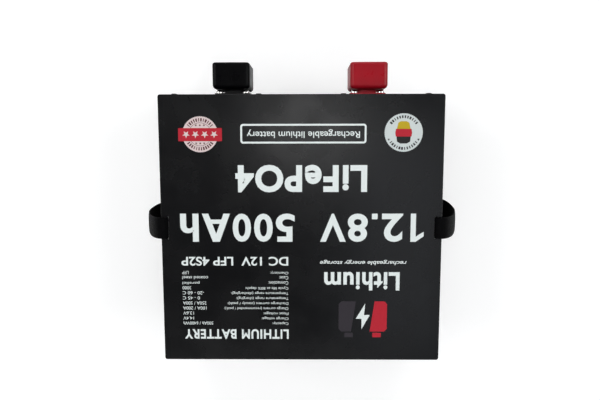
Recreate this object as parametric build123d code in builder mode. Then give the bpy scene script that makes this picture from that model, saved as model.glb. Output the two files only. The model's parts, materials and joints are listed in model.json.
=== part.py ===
"""Under-seat lithium battery pack: a flat steel case with two covered terminals and two strap handles.

Frame: origin at the centre of the case's underside, +Z up through the lid, -Y towards the terminals.
All dimensions are in millimetres.
"""
from build123d import *
import os

os.makedirs("parts", exist_ok=True)

# ---------------------------------------------------------------- driving dimensions
case_width = 355.0
case_depth = 340.0
case_height = 190.0
sheet = 1.5
corner_radius = 3.0
lid_edge_round = 0.5
base_edge_round = 1.4

skirt_gap = 0.2
skirt_depth = 15.0

lid_screw_offsets = (53.0, 159.0)
side_screw_offsets = (51.0, 153.0)
lid_screw_drop = 10.0
lid_screw_radius = 2.0
lid_screw_head_radius = 3.8
lid_screw_head_height = 1.6
lid_screw_length = 9.0
lid_nut_radius = 4.0
lid_nut_height = 3.2
crown_share = 0.6
socket_share = 0.42
socket_depth_share = 0.5

strap_width = 27.0
strap_thickness = 1.7
strap_y = -3.5
strap_inset = 8.0
strap_bulge = 34.0
strap_exit_height = 35.0
strap_lean = {-1: -11.0, 1: -6.0}
strap_start_depth = 1.0
strap_crest_inset = 4.0
strap_crest_rise = 4.2
strap_shoulder_bulge = 0.12
strap_shoulder_rise = 1.5
strap_upper_bulge = 0.6
strap_upper_drop = 24.0
strap_belly_height = 0.62
strap_belly_lean = 0.35
strap_lower_bulge = 0.82
strap_lower_height = 0.38
strap_foot_bulge = 0.25
strap_foot_rise = 5.0
strap_foot_lean = 0.4
strap_end_share = 0.6
strap_end_pull = 0.3
strap_sections = 40
slot_length = 29.5
slot_width = 3.4
bar_radius = 1.5
bar_length = 36.0

positive_x = -85.5
negative_x = 88.5
terminal_z = 140.0
flange_size = 46.0
flange_thickness = 4.0
flange_round = 4.0
neck_size = 24.0
neck_length = 10.0
neck_round = 3.0
boss_radius = 11.0
boss_length = 10.0
base_screw_offset = 17.0
base_screw_radius = 2.5
base_screw_head_radius = 4.5
base_screw_head_height = 4.0
base_screw_length = 13.0
base_nut_flats = 8.0
base_nut_height = 4.0
stud_radius = 4.0
stud_outer_reach = 35.0
stud_inner_reach = 24.0
stud_chamfer = 0.6
thread_relief_radius = 3.5
thread_relief_width = 1.2
washer_radius = 8.5
washer_thickness = 1.6
stud_nut_flats = 13.0
stud_nut_height = 6.5

cover_width = 47.5
cover_height = 51.0
cover_rise = 35.0
cover_depth = 33.0
cover_stand_off = 8.2
cover_wall = 2.2
cover_side_round = 5.5
cover_back_round = 5.0
cover_front_round = 3.0
cover_collar_radius = 9.5
cover_collar_length = 6.0
cable_hole_radius = 7.5
neck_clearance = 0.3

cell_width = 168.0
cell_thickness = 72.0
cell_height = 167.0
cell_gap = 0.8
cell_rows = 4
cell_corner = 3.0
cell_post_offset = 45.0
cell_post_radius = 7.0
cell_post_height = 3.0
cell_stud_radius = 3.0
cell_stud_height = 9.0
vent_radius = 9.0
vent_height = 0.4
spacer_inset = 4.0

pad_thickness = 2.0
heater_thickness = 1.5
end_plate_thickness = 3.0
end_plate_height = 164.0
heater_inset = 6.0
end_plate_lift = 1.0
rear_pad_thickness = 0.8
rear_pad_inset = 10.0
rear_pad_lift = 5.0
rear_pad_height = 152.0
side_pad_ys = (-75.0, 90.0)
side_pad_length = 70.0
side_pad_height = 155.0
pad_slack = 0.1
stack_slack = 0.2
band_thickness = 0.5
band_width = 16.0
band_heights = (60.0, 148.0)

bar_thickness = 3.0
bar_width = 20.0
bar_round = 2.0
bar_hole_clearance = 0.2
stud_tab_reach = 12.0
collector_inset = 11.0
link_overlap = 8.0
return_tab_length = 20.0
bus_inset = 7.0
bus_height = 12.0
link_step = 12.0
return_width = 16.0
return_x = 62.0
return_lift = 5.0
bolt_radius = 3.0
bolt_head_height = 3.0
nut_flats = 10.0
nut_height = 5.0
insulator_thickness = 0.8
insulator_drop = 1.4
insulator_side_inset = 22.0
insulator_end_inset = 8.0
insulator_round = 6.0

board_width = 150.0
board_height = 95.0
board_thickness = 2.0
board_bottom = 22.0
board_x = 89.0
stand_off = 8.0
board_round = 3.0
board_hole_inset = 6.0
chip_line_share = 0.45
chip_spacing = 11.5
chip_width = 10.0
chip_height = 15.0
chip_depth = 5.0
chip_count = 12
heatsink_height = 62.0
heatsink_base = 3.0
heatsink_inset = 6.0
fin_inset = 8.0
fin_depth = 10.0
fin_thickness = 1.6
fin_count = 14
balancer_width = 100.0
balancer_height = 44.0
balancer_bottom = 124.0
choke_size = 12.0
choke_depth = 6.0
choke_count = 6
choke_round = 2.0
choke_spacing = 15.0
choke_row_spacing = 18.0
balancer_hole_inset = 5.0
standoff_radius = 2.5
running_gap = 0.02

lead_x = 42.0
lead_radius = 1.4
lead_drop = 0.3
lead_gap = 3.5
lead_bend = 3.5
lead_top = 66.0
lead_start_gap = 0.5
strip_x = 107.0
strip_width = 10.0
strip_thickness = 0.6
strip_lift = 0.3
strip_plug_share = 0.5
strip_tail = 8.0
strip_tab_width = 6.0
strip_tab_overlap = 2.0
sensor_length = 10.0
sensor_width = 6.0
sensor_height = 2.2
sensor_round = 2.0

# ---------------------------------------------------------------- derived places
tub_height = case_height - sheet
half_width = case_width / 2
half_depth = case_depth / 2
inner_half_width = half_width - sheet
inner_half_depth = half_depth - sheet
lid_screw_z = case_height - lid_screw_drop
skirt_width = case_width - 2 * (sheet + skirt_gap)
skirt_length = case_depth - 2 * (sheet + skirt_gap)
slot_x = half_width - strap_inset
loop_radius = bar_radius + strap_thickness
upper_bar_z = tub_height - loop_radius - skirt_gap
lower_bar_x = inner_half_width - loop_radius - skirt_gap

cell_bottom = sheet + pad_thickness + heater_thickness
cell_top = cell_bottom + cell_height
post_top = cell_top + cell_post_height
cell_pitch = cell_thickness + cell_gap
column_x = (cell_width + cell_gap) / 2
stack_rear = inner_half_depth - rear_pad_thickness - band_thickness - end_plate_thickness - stack_slack
row_y = [stack_rear - cell_thickness / 2 - cell_pitch * (cell_rows - 1 - row) for row in range(cell_rows)]
stack_front = row_y[0] - cell_thickness / 2
stack_half_width = cell_width + cell_gap / 2
plate_front = stack_front - end_plate_thickness
inner_post_x = column_x - cell_post_offset
outer_post_x = column_x + cell_post_offset
board_back = plate_front - stand_off
board_front = board_back - board_thickness
stud_link_y = -half_depth + boss_length

front_wall = Plane.XZ.offset(half_depth)
rear_wall = Plane(origin=(0, half_depth, 0), x_dir=(-1, 0, 0), z_dir=(0, 1, 0))
left_wall = Plane(origin=(-half_width, 0, 0), x_dir=(0, -1, 0), z_dir=(-1, 0, 0))
right_wall = Plane(origin=(half_width, 0, 0), x_dir=(0, 1, 0), z_dir=(1, 0, 0))

front_screw_spots = [(side * x, lid_screw_z) for x in lid_screw_offsets for side in (-1, 1)]
side_screw_spots = [(side * y, lid_screw_z) for y in side_screw_offsets for side in (-1, 1)]
terminals = {"pos": positive_x, "neg": negative_x}


def flange_corners(x):
    """Screw places at the four corners of the flange round the terminal at x."""
    return [(x + side * base_screw_offset, terminal_z + level * base_screw_offset)
            for side in (-1, 1) for level in (-1, 1)]


base_screw_spots = [spot for x in terminals.values() for spot in flange_corners(x)]


def keep(builder, name):
    """Label a finished piece and write it to its own STEP file."""
    builder.part.label = name
    export_step(builder.part, f"parts/{name}.step")


def button_screws(wall, spots, head_radius, head_height, shank_radius, shank_length):
    """Domed socket screws whose heads stand on the wall and whose shanks run inwards."""
    with BuildPart() as screws:
        with BuildSketch(wall):
            with Locations(*spots):
                Circle(head_radius)
        extrude(amount=head_height)
        crowns = screws.faces().filter_by(Plane(origin=(0, 0, 0), z_dir=wall.z_dir)).group_by(
            Axis((0, 0, 0), tuple(wall.z_dir)))[-1].edges()
        fillet(crowns, radius=crown_share * head_height)
        with BuildSketch(wall.offset(head_height)):
            with Locations(*spots):
                RegularPolygon(radius=socket_share * head_radius, side_count=6)
        extrude(amount=-socket_depth_share * head_height, mode=Mode.SUBTRACT)
        with BuildSketch(wall):
            with Locations(*spots):
                Circle(shank_radius)
        extrude(amount=-shank_length)
    return screws


def hex_nuts(seat, spots, flats, height, bore_radius):
    """Hexagon nuts standing on the seat plane, each with a clearance bore."""
    with BuildPart() as nuts:
        with BuildSketch(seat):
            with Locations(*spots):
                RegularPolygon(radius=flats / 2, side_count=6, major_radius=False)
                Circle(bore_radius, mode=Mode.SUBTRACT)
        extrude(amount=height)
    return nuts


# ---------------------------------------------------------------- steel case
with BuildPart() as case_tub:
    with BuildSketch():
        RectangleRounded(case_width, case_depth, corner_radius)
    extrude(amount=tub_height)
    fillet(case_tub.faces().sort_by(Axis.Z)[0].edges(), radius=base_edge_round)
    with BuildSketch(Plane.XY.offset(sheet)):
        RectangleRounded(case_width - 2 * sheet, case_depth - 2 * sheet, corner_radius - sheet)
    extrude(amount=tub_height, mode=Mode.SUBTRACT)
    with BuildSketch(Plane.XZ):
        with Locations(*front_screw_spots):
            Circle(lid_screw_radius + running_gap)
    extrude(amount=case_depth, both=True, mode=Mode.SUBTRACT)
    with BuildSketch(Plane.YZ):
        with Locations(*side_screw_spots):
            Circle(lid_screw_radius + running_gap)
        with Locations((strap_y, strap_exit_height)):
            SlotOverall(slot_length, slot_width)
    extrude(amount=case_width, both=True, mode=Mode.SUBTRACT)
    with BuildSketch(front_wall):
        with Locations(*[(x, terminal_z) for x in terminals.values()]):
            Circle(boss_radius + skirt_gap)
        with Locations(*base_screw_spots):
            Circle(base_screw_radius + running_gap)
    extrude(amount=-2 * sheet, mode=Mode.SUBTRACT)
keep(case_tub, "case_tub")

with BuildPart() as lid:
    with BuildSketch(Plane.XY.offset(tub_height)):
        RectangleRounded(case_width, case_depth, corner_radius)
    extrude(amount=sheet)
    fillet(lid.faces().sort_by(Axis.Z)[-1].edges(), radius=lid_edge_round)
    with BuildSketch(Plane.XY.offset(tub_height)):
        RectangleRounded(skirt_width, skirt_length, corner_radius)
        RectangleRounded(skirt_width - 2 * sheet, skirt_length - 2 * sheet, corner_radius - sheet,
                         mode=Mode.SUBTRACT)
    extrude(amount=-skirt_depth)
    with BuildSketch(Plane.XY.offset(case_height)):
        with Locations((-slot_x, strap_y), (slot_x, strap_y)):
            SlotOverall(slot_length, slot_width, rotation=90)
    extrude(amount=-2 * sheet, mode=Mode.SUBTRACT)
    with BuildSketch(Plane.XZ):
        with Locations(*front_screw_spots):
            Circle(lid_screw_radius + running_gap)
    extrude(amount=case_depth, both=True, mode=Mode.SUBTRACT)
    with BuildSketch(Plane.YZ):
        with Locations(*side_screw_spots):
            Circle(lid_screw_radius + running_gap)
    extrude(amount=case_width, both=True, mode=Mode.SUBTRACT)
keep(lid, "lid")

lid_walls = {
    "front": (front_wall, front_screw_spots),
    "rear": (rear_wall, front_screw_spots),
    "left": (left_wall, side_screw_spots),
    "right": (right_wall, side_screw_spots),
}
for wall_name, (wall, spots) in lid_walls.items():
    lid_screws = button_screws(wall, spots, lid_screw_head_radius, lid_screw_head_height,
                               lid_screw_radius, lid_screw_length)
    keep(lid_screws, f"lid_screws_{wall_name}")

skirt_inside = 2 * sheet + skirt_gap
with BuildPart() as lid_nuts:
    for wall, spots in lid_walls.values():
        with BuildSketch(wall.offset(-skirt_inside)):
            with Locations(*spots):
                Circle(lid_nut_radius)
                Circle(lid_screw_radius + running_gap, mode=Mode.SUBTRACT)
        extrude(amount=-lid_nut_height)
keep(lid_nuts, "lid_nuts")

# ---------------------------------------------------------------- strap handles
for side, side_name in ((-1, "left"), (1, "right")):
    lean = strap_lean[side]
    with BuildLine() as strap_path:
        strap_line = Spline(
            (side * slot_x, strap_y, tub_height - strap_start_depth),
            (side * slot_x, strap_y, case_height),
            (side * (half_width - strap_crest_inset), strap_y, case_height + strap_crest_rise),
            (side * (half_width + strap_shoulder_bulge * strap_bulge), strap_y,
             case_height + strap_shoulder_rise),
            (side * (half_width + strap_upper_bulge * strap_bulge), strap_y,
             case_height - strap_upper_drop),
            (side * (half_width + strap_bulge), strap_y + strap_belly_lean * lean,
             strap_belly_height * case_height),
            (side * (half_width + strap_lower_bulge * strap_bulge), strap_y + lean,
             strap_lower_height * case_height),
            (side * (half_width + strap_foot_bulge * strap_bulge), strap_y + strap_foot_lean * lean,
             strap_exit_height + strap_foot_rise),
            (side * half_width, strap_y, strap_exit_height),
            (side * (lower_bar_x + strap_end_share * loop_radius), strap_y, strap_exit_height),
            tangents=((0, 0, 1), (-side, 0, 0)),
            tangent_scalars=(strap_end_pull, strap_end_pull),
        )
    with BuildPart() as strap:
        for step in range(strap_sections + 1):
            along = step / strap_sections
            with BuildSketch(Plane(strap_line @ along, x_dir=(0, 1, 0), z_dir=strap_line % along)):
                Rectangle(strap_width, strap_thickness)
        loft(ruled=True)
        with BuildSketch(Plane.XZ.offset(-strap_y)):
            for bar_x, bar_z in ((slot_x, upper_bar_z), (lower_bar_x, strap_exit_height)):
                with Locations((side * bar_x, bar_z)):
                    Circle(loop_radius)
                    Circle(bar_radius + running_gap, mode=Mode.SUBTRACT)
        extrude(amount=strap_width / 2, both=True)
        with BuildSketch(Plane.XZ.offset(-strap_y)):
            for bar_x, bar_z in ((slot_x, upper_bar_z), (lower_bar_x, strap_exit_height)):
                with Locations((side * bar_x, bar_z)):
                    Circle(bar_radius + running_gap)
        extrude(amount=strap_width, both=True, mode=Mode.SUBTRACT)
    keep(strap, f"strap_{side_name}")

with BuildPart() as strap_bars:
    with BuildSketch(Plane.XZ.offset(-strap_y)):
        for side in (-1, 1):
            with Locations((side * slot_x, upper_bar_z), (side * lower_bar_x, strap_exit_height)):
                Circle(bar_radius)
    extrude(amount=bar_length / 2, both=True)
keep(strap_bars, "strap_bars")

# ---------------------------------------------------------------- terminals
neck_face = flange_thickness + neck_length
nut_outer_face = neck_face + washer_thickness + stud_nut_height
for pole, x in terminals.items():
    with BuildPart() as terminal_base:
        with BuildSketch(front_wall):
            with Locations((x, terminal_z)):
                RectangleRounded(flange_size, flange_size, flange_round)
        extrude(amount=flange_thickness)
        with BuildSketch(front_wall.offset(flange_thickness)):
            with Locations((x, terminal_z)):
                RectangleRounded(neck_size, neck_size, neck_round)
        extrude(amount=neck_length)
        with BuildSketch(front_wall):
            with Locations((x, terminal_z)):
                Circle(boss_radius)
        extrude(amount=-boss_length)
        with BuildSketch(front_wall):
            with Locations((x, terminal_z)):
                Circle(stud_radius + running_gap)
            with Locations(*flange_corners(x)):
                Circle(base_screw_radius + running_gap)
        extrude(amount=case_depth, both=True, mode=Mode.SUBTRACT)
    keep(terminal_base, f"terminal_base_{pole}")

    with BuildPart() as terminal_stud:
        with BuildSketch(front_wall.offset(-stud_inner_reach)):
            with Locations((x, terminal_z)):
                Circle(stud_radius)
        extrude(amount=stud_inner_reach + stud_outer_reach)
        chamfer(terminal_stud.edges().filter_by(GeomType.CIRCLE), length=stud_chamfer)
        with BuildSketch(front_wall.offset(nut_outer_face)):
            with Locations((x, terminal_z)):
                Circle(washer_radius)
                Circle(thread_relief_radius, mode=Mode.SUBTRACT)
        extrude(amount=thread_relief_width, mode=Mode.SUBTRACT)
    keep(terminal_stud, f"terminal_stud_{pole}")

base_screws = button_screws(front_wall.offset(flange_thickness), base_screw_spots, base_screw_head_radius,
                            base_screw_head_height, base_screw_radius, base_screw_length)
keep(base_screws, "terminal_base_screws")
base_nut_seat = front_wall.offset(-sheet - base_nut_height)
base_nuts = hex_nuts(base_nut_seat, base_screw_spots, base_nut_flats, base_nut_height,
                     base_screw_radius + running_gap)
keep(base_nuts, "terminal_base_nuts")

terminal_spots = [(x, terminal_z) for x in terminals.values()]
link_face = -boss_length - bar_thickness
with BuildPart() as terminal_washers:
    for plane in (front_wall.offset(neck_face), front_wall.offset(link_face - washer_thickness)):
        with BuildSketch(plane):
            with Locations(*terminal_spots):
                Circle(washer_radius)
                Circle(stud_radius + 2 * running_gap, mode=Mode.SUBTRACT)
        extrude(amount=washer_thickness)
keep(terminal_washers, "terminal_washers")

with BuildPart() as terminal_nuts:
    inner_nut_face = link_face - washer_thickness - stud_nut_height
    for plane in (front_wall.offset(neck_face + washer_thickness), front_wall.offset(inner_nut_face)):
        with BuildSketch(plane):
            with Locations(*terminal_spots):
                RegularPolygon(radius=stud_nut_flats / 2, side_count=6, major_radius=False)
                Circle(stud_radius + running_gap, mode=Mode.SUBTRACT)
        extrude(amount=stud_nut_height)
keep(terminal_nuts, "terminal_nuts")

cover_back = front_wall.offset(cover_stand_off)
cover_inside = cover_width - 2 * cover_wall
cover_z = terminal_z + cover_rise - cover_height / 2
cable_y = -half_depth - cover_stand_off - cover_depth / 2
for pole, x in terminals.items():
    with BuildPart() as terminal_cover:
        with BuildSketch(cover_back):
            with Locations((x, cover_z)):
                RectangleRounded(cover_width, cover_height, cover_side_round)
        extrude(amount=cover_depth)
        fillet(terminal_cover.faces().sort_by(Axis.Y)[-1].edges(), radius=cover_back_round)
        fillet(terminal_cover.faces().sort_by(Axis.Y)[0].edges(), radius=cover_front_round)
        with BuildSketch(Plane.XY.offset(cover_z - cover_height / 2)):
            with Locations((x, cable_y)):
                Circle(cover_collar_radius)
        extrude(amount=-cover_collar_length)
        with BuildSketch(cover_back.offset(cover_wall)):
            with Locations((x, cover_z)):
                RectangleRounded(cover_inside, cover_height - 2 * cover_wall, cover_side_round - cover_wall)
        extrude(amount=cover_depth - 2 * cover_wall, mode=Mode.SUBTRACT)
        with BuildSketch(cover_back):
            with Locations((x, terminal_z)):
                Rectangle(cover_inside, neck_size + 2 * neck_clearance)
        extrude(amount=2 * cover_wall, mode=Mode.SUBTRACT)
        with BuildSketch(Plane.XY.offset(terminal_z)):
            with Locations((x, cable_y)):
                Circle(cable_hole_radius)
        extrude(amount=-cover_height, mode=Mode.SUBTRACT)
    keep(terminal_cover, f"terminal_cover_{pole}")

# ---------------------------------------------------------------- cell stack
cell_number = 0
for side in (-1, 1):
    for y in row_y:
        cell_number += 1
        with BuildPart() as cell:
            with BuildSketch(Plane.XY.offset(cell_bottom)):
                with Locations((side * column_x, y)):
                    RectangleRounded(cell_width, cell_thickness, cell_corner)
            extrude(amount=cell_height)
            with BuildSketch(Plane.XY.offset(cell_top)):
                with Locations((side * inner_post_x, y), (side * outer_post_x, y)):
                    Circle(cell_post_radius)
            extrude(amount=cell_post_height)
            with BuildSketch(Plane.XY.offset(post_top)):
                with Locations((side * inner_post_x, y), (side * outer_post_x, y)):
                    Circle(cell_stud_radius)
            extrude(amount=cell_stud_height)
            with BuildSketch(Plane.XY.offset(cell_top)):
                with Locations((side * column_x, y)):
                    SlotOverall(3 * vent_radius, 2 * vent_radius)
            extrude(amount=vent_height)
        keep(cell, f"cell_{cell_number}")

with BuildPart() as cell_spacers:
    for y in row_y[:-1]:
        with BuildSketch(Plane.XY.offset(cell_bottom)):
            with Locations(*[(side * column_x, y + cell_pitch / 2) for side in (-1, 1)]):
                Rectangle(cell_width - spacer_inset, cell_gap - 2 * running_gap)
        extrude(amount=cell_height - spacer_inset)
keep(cell_spacers, "cell_spacers")

with BuildPart() as column_spacer:
    with BuildSketch(Plane.XY.offset(cell_bottom)):
        with Locations((0, (stack_front + stack_rear) / 2)):
            Rectangle(cell_gap - 2 * running_gap, stack_rear - stack_front)
    extrude(amount=cell_height - spacer_inset)
keep(column_spacer, "column_spacer")

for plate_name, plate_y in (("front", stack_front - end_plate_thickness), ("rear", stack_rear)):
    with BuildPart() as end_plate:
        with BuildSketch(Plane.XY.offset(cell_bottom + end_plate_lift)):
            with Locations((0, plate_y + end_plate_thickness / 2)):
                Rectangle(2 * stack_half_width, end_plate_thickness)
        extrude(amount=end_plate_height)
    keep(end_plate, f"end_plate_{plate_name}")

band_depth = stack_rear - stack_front + 2 * end_plate_thickness
with BuildPart() as stack_bands:
    for band_z in band_heights:
        with BuildSketch(Plane.XY.offset(band_z - band_width / 2)):
            with Locations((0, (stack_front + stack_rear) / 2)):
                Rectangle(2 * (stack_half_width + band_thickness), band_depth + 2 * band_thickness)
                Rectangle(2 * stack_half_width, band_depth, mode=Mode.SUBTRACT)
        extrude(amount=band_width)
keep(stack_bands, "stack_bands")

with BuildPart() as floor_pad:
    with BuildSketch(Plane.XY.offset(sheet)):
        with Locations((0, (stack_front + stack_rear) / 2)):
            RectangleRounded(2 * stack_half_width, stack_rear - stack_front, cell_corner)
    extrude(amount=pad_thickness)
keep(floor_pad, "floor_pad")

with BuildPart() as heater_mat:
    with BuildSketch(Plane.XY.offset(sheet + pad_thickness)):
        with Locations((0, (stack_front + stack_rear) / 2)):
            RectangleRounded(2 * stack_half_width - heater_inset,
                             stack_rear - stack_front - heater_inset, cell_corner)
    extrude(amount=heater_thickness)
keep(heater_mat, "heater_mat")

with BuildPart() as rear_pad:
    with BuildSketch(Plane.XY.offset(cell_bottom + rear_pad_lift)):
        with Locations((0, inner_half_depth - rear_pad_thickness / 2)):
            Rectangle(2 * stack_half_width - rear_pad_inset, rear_pad_thickness - 2 * running_gap)
    extrude(amount=rear_pad_height)
keep(rear_pad, "rear_pad")

side_pad_inside = stack_half_width + band_thickness + pad_slack
side_pad_thickness = inner_half_width - side_pad_inside - pad_slack
with BuildPart() as side_pads:
    for side in (-1, 1):
        with BuildSketch(Plane.XY.offset(cell_bottom)):
            with Locations(*[(side * (side_pad_inside + side_pad_thickness / 2), y) for y in side_pad_ys]):
                Rectangle(side_pad_thickness, side_pad_length)
        extrude(amount=side_pad_height)
keep(side_pads, "side_pads")

# ---------------------------------------------------------------- current path
for side, side_name in ((-1, "left"), (1, "right")):
    with BuildPart() as series_links:
        for row, post_x in enumerate((inner_post_x, outer_post_x, inner_post_x)):
            with BuildSketch(Plane.XY.offset(post_top)):
                with Locations((side * post_x, row_y[row] + cell_pitch / 2)):
                    RectangleRounded(bar_width, cell_pitch + bar_width, bar_round)
                with Locations((side * post_x, row_y[row]), (side * post_x, row_y[row + 1])):
                    Circle(cell_stud_radius + bar_hole_clearance, mode=Mode.SUBTRACT)
            extrude(amount=bar_thickness)
    keep(series_links, f"series_links_{side_name}")

collector_y = stack_front + collector_inset
link_bolt_spot = (positive_x, collector_y)
with BuildPart() as positive_collector:
    with BuildSketch(Plane.XY.offset(post_top)):
        with Locations((0, collector_y)):
            Rectangle(2 * outer_post_x + bar_width, return_width)
        for side in (-1, 1):
            with Locations((side * outer_post_x, (collector_y + row_y[0]) / 2 + bar_width / 4)):
                Rectangle(bar_width, row_y[0] - collector_y + bar_width / 2)
        with Locations((-outer_post_x, row_y[0]), (outer_post_x, row_y[0])):
            Circle(cell_stud_radius + bar_hole_clearance, mode=Mode.SUBTRACT)
        with Locations(link_bolt_spot):
            Circle(bolt_radius + running_gap, mode=Mode.SUBTRACT)
    extrude(amount=bar_thickness)
keep(positive_collector, "positive_collector")

collector_top = post_top + bar_thickness
with BuildPart() as positive_link:
    with BuildSketch(Plane.YZ.offset(positive_x)):
        with Locations((stud_link_y, terminal_z - stud_tab_reach)):
            Rectangle(bar_thickness, collector_top + bar_thickness - terminal_z + stud_tab_reach,
                      align=(Align.MIN, Align.MIN))
        with Locations((stud_link_y, collector_top)):
            Rectangle(collector_y + link_overlap - stud_link_y, bar_thickness, align=(Align.MIN, Align.MIN))
    extrude(amount=bar_width / 2, both=True)
    with BuildSketch(front_wall):
        with Locations((positive_x, terminal_z)):
            Circle(stud_radius + 2 * running_gap)
    extrude(amount=-2 * stud_inner_reach, mode=Mode.SUBTRACT)
    with BuildSketch(Plane.XY.offset(collector_top)):
        with Locations(link_bolt_spot):
            Circle(bolt_radius + running_gap)
    extrude(amount=bar_thickness, mode=Mode.SUBTRACT)
keep(positive_link, "positive_link")

return_outer_x = outer_post_x + bar_width / 2
return_inner_x = return_x - return_width / 2
return_bottom = post_top + return_lift
return_top = return_bottom + bar_thickness
tab_bottom = board_bottom + board_height - return_tab_length
for side, side_name in ((-1, "left"), (1, "right")):
    with BuildPart() as negative_return:
        with BuildSketch(Plane.XY.offset(post_top)):
            with Locations((side * (return_outer_x + return_inner_x) / 2, row_y[-1])):
                Rectangle(return_outer_x - return_inner_x, bar_width)
            with Locations((side * outer_post_x, row_y[-1])):
                Circle(cell_stud_radius + bar_hole_clearance, mode=Mode.SUBTRACT)
        extrude(amount=bar_thickness)
        with BuildSketch(Plane.YZ.offset(side * return_x)):
            with Locations((row_y[-1] - bar_width / 2, post_top)):
                Rectangle(bar_thickness, return_top - post_top, align=(Align.MIN, Align.MIN))
            with Locations((board_back, return_bottom)):
                Rectangle(row_y[-1] - bar_width / 2 - board_back + bar_thickness, bar_thickness,
                          align=(Align.MIN, Align.MIN))
            with Locations((board_back, tab_bottom)):
                Rectangle(bar_thickness, return_top - tab_bottom, align=(Align.MIN, Align.MIN))
        extrude(amount=return_width / 2, both=True)
    keep(negative_return, f"negative_return_{side_name}")

bus_z = board_bottom + board_height - bus_inset
with BuildPart() as negative_bus:
    with BuildSketch(Plane.XY.offset(bus_z - bus_height / 2)):
        with Locations((0, board_front - bar_thickness / 2)):
            Rectangle(2 * negative_x + 2 * bar_width, bar_thickness)
    extrude(amount=bus_height)
keep(negative_bus, "negative_bus")

bus_front = board_front - bar_thickness
step_z = bus_z + link_step
with BuildPart() as negative_link:
    with BuildSketch(Plane.YZ.offset(negative_x)):
        with Locations((bus_front - bar_thickness, bus_z - bus_height / 2)):
            Rectangle(bar_thickness, step_z - bus_z + bus_height / 2, align=(Align.MIN, Align.MIN))
        with Locations((stud_link_y, step_z - bar_thickness)):
            Rectangle(bus_front - stud_link_y, bar_thickness, align=(Align.MIN, Align.MIN))
        with Locations((stud_link_y, step_z - bar_thickness)):
            Rectangle(bar_thickness, terminal_z + stud_tab_reach - step_z + bar_thickness,
                      align=(Align.MIN, Align.MIN))
    extrude(amount=bar_width / 2, both=True)
    with BuildSketch(front_wall):
        with Locations((negative_x, terminal_z)):
            Circle(stud_radius + 2 * running_gap)
    extrude(amount=-2 * stud_inner_reach, mode=Mode.SUBTRACT)
keep(negative_link, "negative_link")

post_spots = [(side * x, y) for side in (-1, 1) for x in (inner_post_x, outer_post_x) for y in row_y]
busbar_nuts = hex_nuts(Plane.XY.offset(collector_top), post_spots, nut_flats, nut_height,
                       cell_stud_radius + running_gap)
keep(busbar_nuts, "busbar_nuts")

with BuildPart() as link_bolt:
    with BuildSketch(Plane.XY.offset(collector_top + bar_thickness)):
        with Locations(link_bolt_spot):
            RegularPolygon(radius=nut_flats / 2, side_count=6, major_radius=False)
    extrude(amount=bolt_head_height)
    with BuildSketch(Plane.XY.offset(post_top)):
        with Locations(link_bolt_spot):
            Circle(bolt_radius)
    extrude(amount=2 * bar_thickness)
keep(link_bolt, "link_bolt")

with BuildPart() as busbar_cover:
    with BuildSketch(Plane.XY.offset(tub_height - insulator_drop)):
        with Locations((0, (stack_front + stack_rear) / 2)):
            RectangleRounded(2 * stack_half_width - insulator_side_inset,
                             stack_rear - stack_front - insulator_end_inset, insulator_round)
    extrude(amount=insulator_thickness)
keep(busbar_cover, "busbar_cover")

# ---------------------------------------------------------------- electronics in the front bay
board_plane = Plane.XZ.offset(-board_back)
chip_z = board_bottom + chip_line_share * board_height
for side, side_name in ((-1, "left"), (1, "right")):
    with BuildPart() as bms_board:
        with BuildSketch(board_plane):
            with Locations((side * board_x, board_bottom + board_height / 2)):
                RectangleRounded(board_width, board_height, board_round)
        extrude(amount=board_thickness)
    keep(bms_board, f"bms_board_{side_name}")

    with BuildPart() as bms_chips:
        with BuildSketch(board_plane.offset(board_thickness)):
            with Locations((side * board_x, chip_z)):
                with GridLocations(chip_spacing, 0, chip_count, 1):
                    Rectangle(chip_width, chip_height)
        extrude(amount=chip_depth)
    keep(bms_chips, f"bms_chips_{side_name}")

    with BuildPart() as bms_heatsink:
        with BuildSketch(board_plane.offset(board_thickness + chip_depth)):
            with Locations((side * board_x, chip_z)):
                Rectangle(board_width - heatsink_inset, heatsink_height)
        extrude(amount=heatsink_base)
        with BuildSketch(board_plane.offset(board_thickness + chip_depth + heatsink_base)):
            with Locations((side * board_x, chip_z)):
                with GridLocations((board_width - fin_inset) / (fin_count - 1), 0, fin_count, 1):
                    Rectangle(fin_thickness, heatsink_height)
        extrude(amount=fin_depth)
    keep(bms_heatsink, f"bms_heatsink_{side_name}")

with BuildPart() as balancer_board:
    with BuildSketch(board_plane):
        with Locations((0, balancer_bottom + balancer_height / 2)):
            RectangleRounded(balancer_width, balancer_height, board_round)
    extrude(amount=board_thickness)
keep(balancer_board, "balancer_board")

with BuildPart() as balancer_chokes:
    with BuildSketch(board_plane.offset(board_thickness)):
        with Locations((0, balancer_bottom + balancer_height / 2)):
            with GridLocations(choke_spacing, choke_row_spacing, choke_count, 2):
                RectangleRounded(choke_size, choke_size, choke_round)
    extrude(amount=choke_depth)
keep(balancer_chokes, "balancer_chokes")

board_corners = [(side * (board_x + end * (board_width / 2 - board_hole_inset)), board_bottom + rise)
                 for side in (-1, 1) for end in (-1, 1)
                 for rise in (board_hole_inset, board_height - board_hole_inset)]
balancer_corners = [(side * (balancer_width / 2 - balancer_hole_inset), balancer_bottom + rise)
                    for side in (-1, 1)
                    for rise in (balancer_hole_inset, balancer_height - balancer_hole_inset)]
with BuildPart() as board_standoffs:
    with BuildSketch(board_plane):
        with Locations(*board_corners, *balancer_corners):
            Circle(standoff_radius)
    extrude(amount=-stand_off)
keep(board_standoffs, "board_standoffs")

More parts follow.
